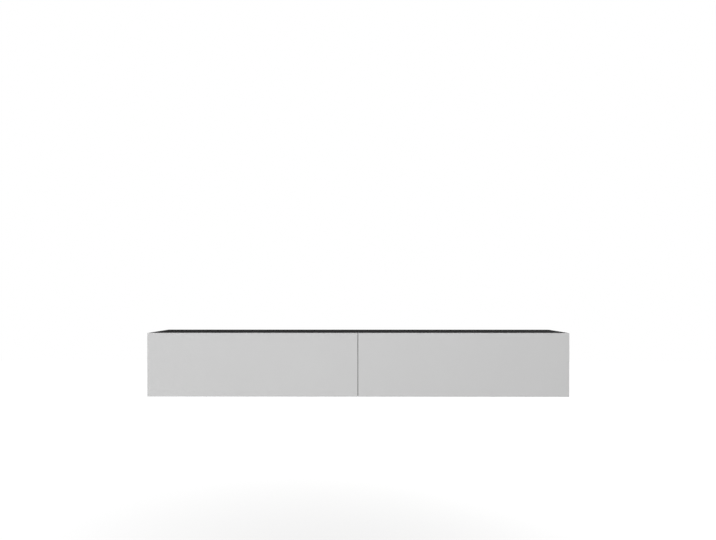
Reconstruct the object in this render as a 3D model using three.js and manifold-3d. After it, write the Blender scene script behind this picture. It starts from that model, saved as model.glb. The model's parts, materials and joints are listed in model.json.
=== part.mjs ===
// A wall-hung media console, two metres wide, that looks like a plain box while it is shut.
// A dark board carcass holds two compartments. Each is closed by a wide, handleless flap that
// turns down to the front on single-pivot cup hinges. Two braked stays carry an open flap, and
// a push latch under the top panel holds it shut and springs it open. The carcass hangs by
// four hooks on a cranked steel rail that is screwed to the wall.
//
// Sizes are in millimetres. X runs along the console, -Y faces the room and +Z is up. The
// origin is on the wall, at the middle of the rail's screwed leg.

import * as THREE from "three";
import Module from "manifold-3d";
import { mergeVertices } from "three/addons/utils/BufferGeometryUtils.js";

const wasm = await Module();
wasm.setup();

// The console as a whole
const cabinetWidth = 2000;
const cabinetHeight = 302;
const cabinetDepth = 350; // from the wall to the faces of the flaps
const fit = 0.3; // the gap left between two faces that touch
const cutOverrun = 5; // how far a cutting shape runs past what it cuts

// Carcass boards
const boardThickness = 16;
const backThickness = 3;
const backInset = 20; // room behind the back panels for the rail and for cables
const grooveDepth = 7; // the back panels stand this deep in the boards, less the gap
const backSeam = 1; // between the two back panels, behind the partition

// The cable cut-out in each back panel
const cableCutWidth = 120;
const cableCutHeight = 50;
const cableCutRadius = 12;
const cableCutRise = 22; // from the compartment's floor

// Flaps
const flapThickness = 18;
const flapGap = 3; // between a shut flap and the boards' front edges, so that it can be pushed
const flapMiddleGap = 2.5; // between the two flaps
const flapEdgeRound = 1;
const openAngle = 90; // degrees

// Hinges: a drilled-in cup in the flap, and an arm clipped to a plate on the bottom panel
const hingesPerFlap = 3;
const hingeInset = 110; // from a flap's end to its first hinge
const cupRadius = 17.25;
const cupDepth = 12;
const cupWall = 1;
const cupEdgeDistance = 3; // from the flap's lower edge to the bored hole
const cupRimWidth = 1.25;
const cupFlangeThickness = 1.5;
const cupWingSpan = 52;
const cupWingHeight = 15;
const pivotRise = 8; // hinge pin above the flap's lower edge
const pivotInset = 7; // hinge pin in from the flap's back face
const pinRadius = 1.3;
const knuckleRadius = 2.4;
const swingClearance = 0.6; // between the turning lower edge and the bottom panel
const armWidth = 11;
const armWall = 1.6;
const armHeight = 6.5;
const armLength = 54; // behind the flap's back face
const armShoulder = 9; // the sloping stretch from the neck up to the full height
const hingePlateThickness = 2;
const hingePlateWidth = 14;
const hingePlateLength = 38;
const hingePlateSetback = 10; // from the bottom panel's front edge
const hingeWingSpan = 46;
const hingeWingLength = 15;
const hingePlateRadius = 3;

// Stays: a rod that turns on the flap and slides through a brake that turns on a board
const stayFlapAngle = 7.5; // degrees from the shut flap to the rod's pin, seen from the hinge
const stayBrakeAngle = 40; // degrees from the shut flap to the brake's pin
const stayTailClearance = 14; // from the rod's tail to the back panel, flap shut
const rodRadius = 3;
const rodFit = 0.4;
const rodEyeRadius = 6.5;
const rodEyeThickness = 4;
const rodNeckClearance = 1; // from the bracket's ear to the round part of the rod
const rodCollarRadius = 5;
const rodCollarLength = 7;
const rodPinRadius = 2.5;
const brakeLength = 30;
const brakeHeight = 17;
const brakeThickness = 13;
const brakeStandoff = 6; // from the board's face to the brake
const brakePinRadius = 3;
const brakePinBite = 2;
const brakeScrewRadius = 4.5;
const brakeScrewHeight = 2;
const brakeSlotWidth = 1.2;
const brakeSlotDepth = 1;
const stayPlateThickness = 2.5;
const stayPlateLength = 42;
const stayPlateHeight = 20;
const bracketEar = 2.5;
const bracketPlateThickness = 2.5;
const bracketPlateWidth = 17;
const bracketPlateHeight = 46;
const bracketEarHeight = 18;
const bracketPinHeadRadius = 4;
const bracketPinHead = 1.5;

// Push latches under the top panel
const latchLength = 62;
const latchSetback = 2; // behind the boards' front edges
const latchBarrelRadius = 7;
const latchPlateWidth = 30;
const latchPlateThickness = 2.5;
const plungerRadius = 3.6;
const plungerLength = 48;
const plungerRunGap = 0.4;
const plungerHeadRadius = 4.6;
const plungerHeadLength = 2.4;
const plungerStroke = 20;
const strikeRadius = 8;
const strikeThickness = 1.5;
const strikeHoleRadius = 2.2;
const strikeSinkRadius = 3.8;

// The wall rail, a cranked steel strip
const railThickness = 2;
const railLegHeight = 20;
const railLipHeight = 12;
const railCrankHeight = 4;
const railLipGap = 4.5; // between the wall and the back of the lip
const railDrop = 64; // from the console's top down to the middle of the screwed leg
const railEndGap = 4; // to the end panels
const railSlotPitch = 200;
const railSlotLength = 14;
const railSlotHeight = 7;

// Hangers: a hook that comes out of a body in each upper back corner
const hangerThickness = 18;
const hangerDepth = 54;
const hangerHeight = 58;
const hangerNoseHeight = 30;
const hangerHeelDepth = 22;
const hangerAdjustment = 4; // how far a hook can be set up or down in its body
const hookThickness = 3;
const hookArmHeight = 12;
const hookReach = 36; // how deep the hook stands in its body
const hookTipThickness = 3;
const hookTipDrop = 9;
const hookNotchMargin = 6; // round a hook, in the back panel
const hangerScrewRadius = 3.5;
const hangerScrewSink = 3;

// Facets
const cupSides = 24;
const pinSides = 16;
const cornerSides = 4;
const wideCornerSides = 8;
const flapEdgeSides = 3;

// Places worked out from the sizes
const halfWidth = cabinetWidth / 2;
const endFaceX = halfWidth - boardThickness;
const partitionFaceX = boardThickness / 2;
const floorZ = boardThickness;
const ceilingZ = cabinetHeight - boardThickness;
const railLegCentre = cabinetHeight - railDrop;
const flapBackY = flapThickness - cabinetDepth;
const boardFrontY = flapBackY + flapGap;
const backRearY = -backInset;
const backFrontY = backRearY - backThickness;
const flapWidth = (cabinetWidth - flapMiddleGap) / 2;
const flapInnerX = flapMiddleGap / 2;
const flapCentreX = flapInnerX + flapWidth / 2;
const pivotY = flapBackY - pivotInset;
const pivotZ = pivotRise;
const bottomFrontY = pivotY + Math.hypot(pivotInset, pivotRise) + swingClearance;

// Helpers: shapes
const outline = (points) => new THREE.Shape(points.map(([u, v]) => new THREE.Vector2(u, v)));

function roundedRectangle(centre, width, height, radius) {
  const [u, v] = centre;
  const across = width / 2 - radius;
  const up = height / 2 - radius;
  const shape = new THREE.Shape();
  shape.absarc(u + across, v - up, radius, -Math.PI / 2, 0);
  shape.absarc(u + across, v + up, radius, 0, Math.PI / 2);
  shape.absarc(u - across, v + up, radius, Math.PI / 2, Math.PI);
  shape.absarc(u - across, v - up, radius, Math.PI, 1.5 * Math.PI);
  shape.closePath();
  return shape;
}

// Helpers: solids. Each stands on an outline whose axes are named in the function's comment.
function slab(x, y, z) {
  const size = [x, y, z].map(([low, high]) => high - low);
  const middle = [x, y, z].map(([low, high]) => (low + high) / 2);
  return new THREE.BoxGeometry(...size).translate(...middle);
}

// The outline is drawn in Y and Z and runs along X.
function alongX(shape, from, to, curveSegments = cornerSides) {
  const geometry = new THREE.ExtrudeGeometry(shape, {
    depth: to - from,
    bevelEnabled: false,
    curveSegments,
  });
  const turn = new THREE.Matrix4().makeBasis(
    new THREE.Vector3(0, 1, 0),
    new THREE.Vector3(0, 0, 1),
    new THREE.Vector3(1, 0, 0),
  );
  return geometry.applyMatrix4(turn).translate(from, 0, 0);
}

// The outline is drawn in X and Z and runs from the back towards -Y. A round is the radius of
// the softened edges on both faces.
function towardsFront(shape, back, front, round = 0, curveSegments = cornerSides) {
  const geometry = new THREE.ExtrudeGeometry(shape, {
    depth: back - front - 2 * round,
    bevelEnabled: round > 0,
    bevelThickness: round,
    bevelSize: round,
    bevelOffset: -round,
    bevelSegments: flapEdgeSides,
    curveSegments,
  });
  const turn = new THREE.Matrix4().makeBasis(
    new THREE.Vector3(1, 0, 0),
    new THREE.Vector3(0, 0, 1),
    new THREE.Vector3(0, -1, 0),
  );
  return geometry.applyMatrix4(turn).translate(0, back - round, 0);
}

// The outline is drawn in X and Y and stands up along Z.
function upwards(shape, from, to) {
  const geometry = new THREE.ExtrudeGeometry(shape, {
    depth: to - from,
    bevelEnabled: false,
    curveSegments: cornerSides,
  });
  return geometry.translate(0, 0, from);
}

const rodAlongX = (radius, from, to, y, z, sides = pinSides) =>
  new THREE.CylinderGeometry(radius, radius, to - from, sides)
    .rotateZ(Math.PI / 2)
    .translate((from + to) / 2, y, z);

const rodAlongY = (radius, from, to, x, z, sides = pinSides) =>
  new THREE.CylinderGeometry(radius, radius, to - from, sides).translate(x, (from + to) / 2, z);

// A profile of [radius, y] points, turned about a line along Y through x and z.
function turnedAboutY(profile, x, z, sides) {
  const points = profile.map(([radius, y]) => new THREE.Vector2(radius, y));
  return new THREE.LatheGeometry(points, sides).translate(x, 0, z);
}

// Helpers: joins and cuts
function toSolid(geometry) {
  const bare = geometry.index ? geometry.toNonIndexed() : geometry.clone();
  bare.deleteAttribute("normal");
  bare.deleteAttribute("uv");
  const merged = mergeVertices(bare);
  const mesh = new wasm.Mesh({
    numProp: 3,
    vertProperties: merged.attributes.position.array,
    triVerts: Uint32Array.from(merged.index.array),
  });
  return new wasm.Manifold(mesh);
}

function toGeometry(solid) {
  const { vertProperties, triVerts, numProp, numVert } = solid.getMesh();
  const positions = new Float32Array(numVert * 3);
  for (let i = 0; i < numVert; i++) {
    positions.set(vertProperties.subarray(i * numProp, i * numProp + 3), i * 3);
  }
  const indexed = new THREE.BufferGeometry();
  indexed.setAttribute("position", new THREE.BufferAttribute(positions, 3));
  indexed.setIndex(new THREE.BufferAttribute(triVerts, 1));
  const geometry = indexed.toNonIndexed();
  geometry.computeVertexNormals();
  return geometry;
}

const joined = (...pieces) => toGeometry(pieces.map(toSolid).reduce((a, b) => a.add(b)));

const cutFrom = (piece, ...tools) =>
  toGeometry(tools.map(toSolid).reduce((left, tool) => left.subtract(tool), toSolid(piece)));

const commonOf = (piece, limit) => toGeometry(toSolid(piece).intersect(toSolid(limit)));

// Materials
const finish = (color, roughness, metalness) =>
  new THREE.MeshStandardMaterial({ color, roughness, metalness });

const blackBoard = finish("#2e2e2e", 0.6, 0);
const blackHardboard = finish("#262626", 0.65, 0);
const greyFront = finish("#cdcdcd", 0.45, 0);
const nickelSteel = finish("#b9bbbd", 0.32, 1);
const zincSteel = finish("#a9adb0", 0.42, 1);
const darkPlastic = finish("#3a3a3b", 0.5, 0);
const greyPlastic = finish("#8d8f90", 0.5, 0);

const mediaConsole = new THREE.Group();
mediaConsole.position.z = -railLegCentre;

function add(parent, name, geometry, material) {
  const mesh = new THREE.Mesh(geometry, material);
  mesh.name = name;
  parent.add(mesh);
}

// A group whose own X axis starts on a board's face and runs into the compartment.
function onFace(faceX, into) {
  const group = new THREE.Group();
  group.position.x = faceX;
  group.scale.x = into;
  mediaConsole.add(group);
  return group;
}

// Carcass
const grooveY = [backFrontY - fit, backRearY + fit];

function coverBoard(low, high, frontY, grooveZ) {
  const board = slab([-halfWidth, halfWidth], [frontY, 0], [low, high]);
  const reach = endFaceX + grooveDepth;
  return cutFrom(board, slab([-reach, reach], grooveY, grooveZ));
}

function topPanel() {
  const grooveZ = [ceilingZ - cutOverrun, ceilingZ + grooveDepth];
  return coverBoard(ceilingZ, cabinetHeight, boardFrontY, grooveZ);
}

function bottomPanel() {
  const grooveZ = [floorZ - grooveDepth, floorZ + cutOverrun];
  return coverBoard(0, floorZ, bottomFrontY, grooveZ);
}

function endPanel(side) {
  const inner = side * endFaceX;
  const outer = side * halfWidth;
  const grooveFloor = side * (endFaceX + grooveDepth);
  const points = [
    [inner, boardFrontY],
    [outer, boardFrontY],
    [outer, 0],
    [inner, 0],
    [inner, grooveY[1]],
    [grooveFloor, grooveY[1]],
    [grooveFloor, grooveY[0]],
    [inner, grooveY[0]],
  ];
  return upwards(outline(points), floorZ + fit, ceilingZ - fit);
}

const partition = () =>
  slab(
    [-partitionFaceX, partitionFaceX],
    [boardFrontY, backFrontY - fit],
    [floorZ + fit, ceilingZ - fit],
  );

// The rail's section and the hooks that hang on it
const railLegLow = railLegCentre - railLegHeight / 2;
const railLegHigh = railLegCentre + railLegHeight / 2;
const railLipLow = railLegHigh + railCrankHeight;
const railLipHigh = railLipLow + railLipHeight;
const railHalf = endFaceX - railEndGap;
const hookLow = railLipHigh + fit - hookArmHeight / 2;
const hookHigh = hookLow + hookArmHeight;

function wallRail() {
  const lipBackY = -railLipGap;
  const section = [
    [0, railLegLow],
    [0, railLegHigh],
    [lipBackY, railLipLow],
    [lipBackY, railLipHigh],
    [lipBackY - railThickness, railLipHigh],
    [lipBackY - railThickness, railLipLow],
    [-railThickness, railLegHigh],
    [-railThickness, railLegLow],
  ];
  const strip = alongX(outline(section), -railHalf, railHalf);
  const slots = [];
  for (let x = railSlotPitch / 2; x < railHalf - railSlotLength; x += railSlotPitch) {
    for (const side of [-1, 1]) {
      const centre = [side * x, railLegCentre];
      const shape = roundedRectangle(centre, railSlotLength, railSlotHeight, railSlotHeight / 2);
      slots.push(towardsFront(shape, cutOverrun, -railThickness - cutOverrun));
    }
  }
  return cutFrom(strip, ...slots);
}

// Back panels: notched at the upper corners, where the hooks pass, and cut out for cables
const hookMiddle = fit + hangerThickness / 2; // from a board's face
const notchReach = hookMiddle + hookThickness / 2 + hookNotchMargin;
const notchLow = hookLow - hookNotchMargin;

function backPanel(side) {
  const reach = grooveDepth - fit;
  const seamX = backSeam / 2;
  const outerX = endFaceX + reach;
  const low = floorZ - reach;
  const high = ceilingZ + reach;
  const points = [
    [seamX, low],
    [outerX, low],
    [outerX, notchLow],
    [endFaceX - notchReach, notchLow],
    [endFaceX - notchReach, high],
    [partitionFaceX + notchReach, high],
    [partitionFaceX + notchReach, notchLow],
    [seamX, notchLow],
  ];
  const shape = outline(points.map(([x, z]) => [side * x, z]));
  const cutZ = floorZ + cableCutRise + cableCutHeight / 2;
  const centre = [side * flapCentreX, cutZ];
  shape.holes.push(roundedRectangle(centre, cableCutWidth, cableCutHeight, cableCutRadius));
  return towardsFront(shape, backRearY, backFrontY, 0, wideCornerSides);
}

const hangerBackY = backFrontY - fit;

function hangerBody() {
  const top = ceilingZ - fit;
  const bottom = top - hangerHeight;
  const frontY = hangerBackY - hangerDepth;
  const points = [
    [hangerBackY, bottom],
    [hangerBackY, top],
    [frontY, top],
    [frontY, top - hangerNoseHeight],
    [hangerBackY - hangerHeelDepth, bottom],
  ];
  const body = alongX(outline(points), fit, fit + hangerThickness);
  const slotX = [
    hookMiddle - hookThickness / 2 - fit,
    hookMiddle + hookThickness / 2 + fit,
  ];
  const slotY = [hangerBackY - hookReach - fit, hangerBackY + cutOverrun];
  const slotZ = [hookLow - hangerAdjustment, hookHigh + hangerAdjustment];
  const sinks = [-1, 1].map((up) => {
    const z = top - hangerNoseHeight / 2 + (up * hangerNoseHeight) / 4;
    const deep = frontY + hangerScrewSink;
    return rodAlongY(hangerScrewRadius, frontY - cutOverrun, deep, hookMiddle, z);
  });
  return cutFrom(body, slab(slotX, slotY, slotZ), ...sinks);
}

function hangerHook() {
  const tipFrontY = -railLipGap + fit;
  const tipBackY = tipFrontY + hookTipThickness;
  const lipFrontY = -railLipGap - railThickness - fit;
  const seat = railLipHigh + fit;
  const points = [
    [hangerBackY - hookReach, hookLow],
    [lipFrontY, hookLow],
    [lipFrontY, seat],
    [tipFrontY, seat],
    [tipFrontY, seat - hookTipDrop],
    [tipBackY, seat - hookTipDrop],
    [tipBackY, hookHigh],
    [hangerBackY - hookReach, hookHigh],
  ];
  const near = hookMiddle - hookThickness / 2;
  return alongX(outline(points), near, near + hookThickness);
}

// Hinges. The arm's neck reaches over the bottom panel's front edge and down into the cup.
const cupBoreRadius = cupRadius + fit;
const cupZ = cupEdgeDistance + cupBoreRadius;
const cupFloorY = flapBackY - cupDepth;
const armLow = floorZ + hingePlateThickness + 2 * fit;

function hingeCup(x) {
  const inner = cupRadius - cupWall;
  const rim = cupRadius + cupRimWidth;
  const lipY = flapBackY + fit;
  const faceY = lipY + cupFlangeThickness;
  const profile = [
    [0, cupFloorY],
    [cupRadius, cupFloorY],
    [cupRadius, lipY],
    [rim, lipY],
    [rim, faceY],
    [inner, faceY],
    [inner, cupFloorY + cupWall],
    [0, cupFloorY + cupWall],
  ];
  const cup = turnedAboutY(profile, x, cupZ, cupSides);
  const wingOutline = roundedRectangle([x, cupZ], cupWingSpan, cupWingHeight, cupWingHeight / 2);
  const mouth = rodAlongY(inner + cupWall / 2, lipY - cutOverrun, faceY + cutOverrun, x, cupZ, cupSides);
  const wings = cutFrom(towardsFront(wingOutline, faceY, lipY), mouth);
  const pin = rodAlongX(pinRadius, x - cupRadius, x + cupRadius, pivotY, pivotZ);
  const pinLimit = rodAlongY(inner + cupWall / 2, cupFloorY, faceY, x, cupZ, cupSides);
  return joined(cup, wings, commonOf(pin, pinLimit));
}

function hingeArm(x) {
  const from = x - armWidth / 2;
  const to = x + armWidth / 2;
  const neckTop = armLow + armWall;
  const rearY = flapBackY + armLength;
  const shoulderY = bottomFrontY + armShoulder;
  const side = [
    [rearY, armLow],
    [pivotY + armWall / 2, armLow],
    [pivotY + armWall / 2, pivotZ],
    [pivotY - armWall / 2, pivotZ],
    [pivotY - armWall / 2, neckTop],
    [bottomFrontY, neckTop],
    [shoulderY, armLow + armHeight],
    [rearY, armLow + armHeight],
  ];
  const body = alongX(outline(side), from, to);
  const knuckle = rodAlongX(knuckleRadius, from, to, pivotY, pivotZ);
  const pinBore = rodAlongX(pinRadius + fit, from - cutOverrun, to + cutOverrun, pivotY, pivotZ);
  const channel = slab(
    [from + armWall, to - armWall],
    [shoulderY, rearY + cutOverrun],
    [armLow - cutOverrun, armLow + armHeight - armWall],
  );
  return cutFrom(joined(body, knuckle), pinBore, channel);
}

function hingePlate(x) {
  const low = floorZ + fit;
  const high = low + hingePlateThickness;
  const middleY = bottomFrontY + hingePlateSetback + hingePlateLength / 2;
  const centre = [x, middleY];
  const spine = roundedRectangle(centre, hingePlateWidth, hingePlateLength, hingePlateRadius);
  const wings = roundedRectangle(centre, hingeWingSpan, hingeWingLength, hingePlateRadius);
  return joined(upwards(spine, low, high), upwards(wings, low, high));
}

// Flaps
const hingePlaces = Array.from({ length: hingesPerFlap }, (_, i) => {
  const first = flapInnerX + hingeInset;
  const last = flapInnerX + flapWidth - hingeInset;
  return first + ((last - first) * i) / (hingesPerFlap - 1);
});

function flap(side) {
  const centre = [side * flapCentreX, cabinetHeight / 2];
  const face = outline([
    [centre[0] - flapWidth / 2, 0],
    [centre[0] + flapWidth / 2, 0],
    [centre[0] + flapWidth / 2, cabinetHeight],
    [centre[0] - flapWidth / 2, cabinetHeight],
  ]);
  const board = towardsFront(face, flapBackY, -cabinetDepth, flapEdgeRound);
  const bores = hingePlaces.map((x) =>
    rodAlongY(cupBoreRadius, cupFloorY - fit, flapBackY + cutOverrun, side * x, cupZ, cupSides),
  );
  return cutFrom(board, ...bores);
}

// Stays. The rod's pin and the brake's pin lie on one circle about the hinge pin, so the rod,
// a chord of that circle, turns exactly half as far as the flap does.
const radians = THREE.MathUtils.degToRad;
const chordShare = (angle) => 2 * Math.sin(radians(angle) / 2);
const shutAngle = stayBrakeAngle - stayFlapAngle;
const rodTilt = radians((stayBrakeAngle + stayFlapAngle) / 2); // below level, flap shut
const rodStop = brakeLength / 2 + fit; // the collar meets the brake when the flap is open
const rodTravelShare = chordShare(shutAngle + openAngle) - chordShare(shutAngle);
const tailShare = Math.sin(radians(stayBrakeAngle)) + rodTravelShare * Math.cos(rodTilt);
const tailReach = (rodStop + rodCollarLength) * Math.cos(rodTilt) + rodCollarRadius * Math.sin(rodTilt);
const stayRadius = (backFrontY - stayTailClearance - pivotY - tailReach) / tailShare;
const rodLength = stayRadius * chordShare(shutAngle + openAngle) + rodStop + rodCollarLength;
const rodPin = {
  y: pivotY + stayRadius * Math.sin(radians(stayFlapAngle)),
  z: pivotZ + stayRadius * Math.cos(radians(stayFlapAngle)),
};
const brakePin = {
  y: pivotY + stayRadius * Math.sin(radians(stayBrakeAngle)),
  z: pivotZ + stayRadius * Math.cos(radians(stayBrakeAngle)),
};
const rodX = brakeStandoff + brakeThickness / 2; // from the board's face

function stayBase() {
  const plate = roundedRectangle(
    [brakePin.y, brakePin.z],
    stayPlateLength,
    stayPlateHeight,
    stayPlateHeight / 2,
  );
  const tip = brakeStandoff + brakePinBite;
  const pin = rodAlongX(brakePinRadius, fit, tip, brakePin.y, brakePin.z);
  return joined(alongX(plate, fit, fit + stayPlateThickness), pin);
}

// Built level about its pin, and turned onto the rod's line where it is placed
function stayBrake() {
  const far = brakeStandoff + brakeThickness;
  const side = roundedRectangle([0, 0], brakeLength, brakeHeight, brakeHeight / 2);
  const block = alongX(side, brakeStandoff, far);
  const screw = rodAlongX(brakeScrewRadius, far, far + brakeScrewHeight, 0, 0);
  const slot = slab(
    [far + brakeScrewHeight - brakeSlotDepth, far + brakeScrewHeight + cutOverrun],
    [-brakeScrewRadius - cutOverrun, brakeScrewRadius + cutOverrun],
    [-brakeSlotWidth / 2, brakeSlotWidth / 2],
  );
  const end = brakeLength / 2 + cutOverrun;
  const rodBore = rodAlongY(rodRadius + rodFit, -end, end, rodX, 0);
  const deep = brakeStandoff + brakePinBite + fit;
  const pinBore = rodAlongX(brakePinRadius + fit, brakeStandoff - cutOverrun, deep, 0, 0);
  return cutFrom(joined(block, screw), slot, rodBore, pinBore);
}

// Built level from the eye's centre towards the wall, and turned where it is placed
function stayRod() {
  const near = rodX - rodEyeThickness / 2;
  const far = rodX + rodEyeThickness / 2;
  const barStart = rodEyeRadius + rodNeckClearance;
  const eye = rodAlongX(rodEyeRadius, near, far, 0, 0);
  const neck = slab([near, far], [0, barStart + rodRadius], [-rodRadius, rodRadius]);
  const bar = rodAlongY(rodRadius, barStart, rodLength, rodX, 0);
  const collar = rodAlongY(rodCollarRadius, rodLength - rodCollarLength, rodLength, rodX, 0);
  const pinBore = rodAlongX(rodPinRadius + fit, near - cutOverrun, far + cutOverrun, 0, 0);
  return cutFrom(joined(eye, neck, bar, collar), pinBore);
}

function stayBracket() {
  const earFar = rodX - rodEyeThickness / 2 - fit;
  const earNear = earFar - bracketEar;
  const seatY = flapBackY + fit;
  const plateOutline = roundedRectangle(
    [rodX, rodPin.z],
    bracketPlateWidth,
    bracketPlateHeight,
    hingePlateRadius,
  );
  const plate = towardsFront(plateOutline, seatY + bracketPlateThickness, seatY);
  const earSide = new THREE.Shape();
  earSide.moveTo(seatY, rodPin.z - bracketEarHeight / 2);
  earSide.lineTo(rodPin.y, rodPin.z - rodEyeRadius);
  earSide.absarc(rodPin.y, rodPin.z, rodEyeRadius, -Math.PI / 2, Math.PI / 2);
  earSide.lineTo(seatY, rodPin.z + bracketEarHeight / 2);
  earSide.closePath();
  const ear = alongX(earSide, earNear, earFar);
  const eyeFar = rodX + rodEyeThickness / 2 + fit;
  const pin = rodAlongX(rodPinRadius, earNear, eyeFar, rodPin.y, rodPin.z);
  const headFar = eyeFar + bracketPinHead;
  const head = rodAlongX(bracketPinHeadRadius, eyeFar, headFar, rodPin.y, rodPin.z);
  return joined(plate, ear, pin, head);
}

// Push latches. The plunger's head rests on the strike plate while the flap is shut.
const latchZ = ceilingZ - fit - latchPlateThickness - latchBarrelRadius;
const strikeFaceY = flapBackY + fit + strikeThickness;
const latchFrontY = boardFrontY + latchSetback;
const plungerTipY = strikeFaceY + fit;
const plungerHeadY = plungerTipY + plungerHeadLength;

function latchBody(x) {
  const backY = latchFrontY + latchLength;
  const top = ceilingZ - fit;
  const plate = slab(
    [x - latchPlateWidth / 2, x + latchPlateWidth / 2],
    [latchFrontY, backY],
    [top - latchPlateThickness, top],
  );
  const web = slab(
    [x - latchBarrelRadius, x + latchBarrelRadius],
    [latchFrontY, backY],
    [latchZ, top - latchPlateThickness / 2],
  );
  const barrel = rodAlongY(latchBarrelRadius, latchFrontY, backY, x, latchZ);
  const boreEnd = plungerHeadY + plungerLength + plungerRunGap;
  const bore = rodAlongY(
    plungerRadius + plungerRunGap,
    latchFrontY - cutOverrun,
    boreEnd,
    x,
    latchZ,
  );
  return cutFrom(joined(plate, web, barrel), bore);
}

function latchPlunger(x) {
  const profile = [
    [0, plungerTipY],
    [plungerHeadRadius, plungerTipY],
    [plungerHeadRadius, plungerHeadY],
    [plungerRadius, plungerHeadY],
    [plungerRadius, plungerHeadY + plungerLength],
    [0, plungerHeadY + plungerLength],
  ];
  return turnedAboutY(profile, x, latchZ, pinSides);
}

function latchStrike(x) {
  const seatY = flapBackY + fit;
  const profile = [
    [strikeHoleRadius, seatY],
    [strikeRadius, seatY],
    [strikeRadius, strikeFaceY],
    [strikeSinkRadius, strikeFaceY],
    [strikeHoleRadius, seatY],
  ];
  return turnedAboutY(profile, x, latchZ, cupSides);
}

// The whole console
add(mediaConsole, "top_panel", topPanel(), blackBoard);
add(mediaConsole, "bottom_panel", bottomPanel(), blackBoard);
add(mediaConsole, "centre_partition", partition(), blackBoard);
add(mediaConsole, "wall_rail", wallRail(), zincSteel);

const hands = [
  ["left", -1],
  ["right", 1],
];

for (const [hand, side] of hands) {
  add(mediaConsole, `${hand}_side_panel`, endPanel(side), blackBoard);
  add(mediaConsole, `${hand}_back_panel`, backPanel(side), blackHardboard);
  add(mediaConsole, `${hand}_flap`, flap(side), greyFront);

  hingePlaces.forEach((place, i) => {
    const x = side * place;
    add(mediaConsole, `${hand}_hinge_cup_${i + 1}`, hingeCup(x), nickelSteel);
    add(mediaConsole, `${hand}_hinge_arm_${i + 1}`, hingeArm(x), nickelSteel);
    add(mediaConsole, `${hand}_hinge_plate_${i + 1}`, hingePlate(x), nickelSteel);
  });

  const latchX = side * flapCentreX;
  add(mediaConsole, `${hand}_latch_body`, latchBody(latchX), darkPlastic);
  add(mediaConsole, `${hand}_latch_plunger`, latchPlunger(latchX), greyPlastic);
  add(mediaConsole, `${hand}_latch_strike`, latchStrike(latchX), nickelSteel);

  const faces = [
    ["outer", onFace(side * endFaceX, -side)],
    ["inner", onFace(side * partitionFaceX, side)],
  ];
  for (const [place, face] of faces) {
    const name = `${hand}_${place}`;
    add(face, `${name}_hanger_body`, hangerBody(), zincSteel);
    add(face, `${name}_hanger_hook`, hangerHook(), zincSteel);
    add(face, `${name}_stay_base`, stayBase(), nickelSteel);
    add(face, `${name}_stay_bracket`, stayBracket(), nickelSteel);

    const brakeTurn = new THREE.Group();
    brakeTurn.position.set(0, brakePin.y, brakePin.z);
    brakeTurn.rotation.x = -rodTilt;
    face.add(brakeTurn);
    add(brakeTurn, `${name}_stay_brake`, stayBrake(), darkPlastic);

    const rodTurn = new THREE.Group();
    rodTurn.position.set(0, rodPin.y, rodPin.z);
    rodTurn.rotation.x = -rodTilt;
    face.add(rodTurn);
    add(rodTurn, `${name}_stay_rod`, stayRod(), nickelSteel);
  }
}

export default mediaConsole;
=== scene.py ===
# %% [markdown]
# # A wall-hung media console
#
# The real console is a black board box with two wide, light grey flaps and nothing else to see
# from the room. Its fittings only show once a flap is down: cup hinges, braked stays, a push
# latch and the hangers in the upper corners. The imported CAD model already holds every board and
# fitting at its true size, so this script doesn't move or resize anything. It gives each solid a
# finish, rounds the edges of the fittings, adds the small pieces that a maker would see, and
# lights the whole as a product picture.

import json
import math

import bmesh
import bpy
from mathutils import Matrix, Vector

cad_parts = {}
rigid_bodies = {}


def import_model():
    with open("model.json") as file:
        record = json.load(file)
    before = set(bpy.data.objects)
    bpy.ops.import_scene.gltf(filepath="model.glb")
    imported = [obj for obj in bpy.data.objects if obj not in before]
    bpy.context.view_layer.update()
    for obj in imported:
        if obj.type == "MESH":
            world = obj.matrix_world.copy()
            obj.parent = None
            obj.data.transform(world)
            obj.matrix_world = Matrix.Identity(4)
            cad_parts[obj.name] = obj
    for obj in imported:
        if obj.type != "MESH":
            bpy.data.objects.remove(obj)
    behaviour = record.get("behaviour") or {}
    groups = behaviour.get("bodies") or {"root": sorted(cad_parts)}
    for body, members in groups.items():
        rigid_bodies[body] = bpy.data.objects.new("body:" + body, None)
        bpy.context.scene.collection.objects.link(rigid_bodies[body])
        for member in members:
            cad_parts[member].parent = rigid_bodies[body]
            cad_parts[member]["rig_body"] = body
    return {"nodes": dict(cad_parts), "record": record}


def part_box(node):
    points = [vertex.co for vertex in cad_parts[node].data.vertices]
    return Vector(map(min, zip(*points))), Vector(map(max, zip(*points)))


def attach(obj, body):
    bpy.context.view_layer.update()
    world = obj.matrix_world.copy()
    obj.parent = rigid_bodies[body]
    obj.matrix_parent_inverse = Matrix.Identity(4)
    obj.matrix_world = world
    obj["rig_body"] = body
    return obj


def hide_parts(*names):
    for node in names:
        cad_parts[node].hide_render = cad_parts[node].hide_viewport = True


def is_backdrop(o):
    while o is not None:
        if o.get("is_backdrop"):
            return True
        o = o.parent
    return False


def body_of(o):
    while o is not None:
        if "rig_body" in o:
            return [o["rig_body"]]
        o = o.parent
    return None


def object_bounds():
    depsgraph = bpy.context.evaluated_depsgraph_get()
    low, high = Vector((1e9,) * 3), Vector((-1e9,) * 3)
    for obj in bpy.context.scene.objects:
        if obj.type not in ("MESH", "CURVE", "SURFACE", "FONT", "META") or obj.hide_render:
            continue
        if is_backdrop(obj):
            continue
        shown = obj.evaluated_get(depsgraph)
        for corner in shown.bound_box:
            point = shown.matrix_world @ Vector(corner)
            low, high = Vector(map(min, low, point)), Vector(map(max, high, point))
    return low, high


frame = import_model()
cad_low, cad_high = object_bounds()
MM = 0.001
print("CAD box in mm:", [round(v / MM) for v in (cad_high - cad_low)])

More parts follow.
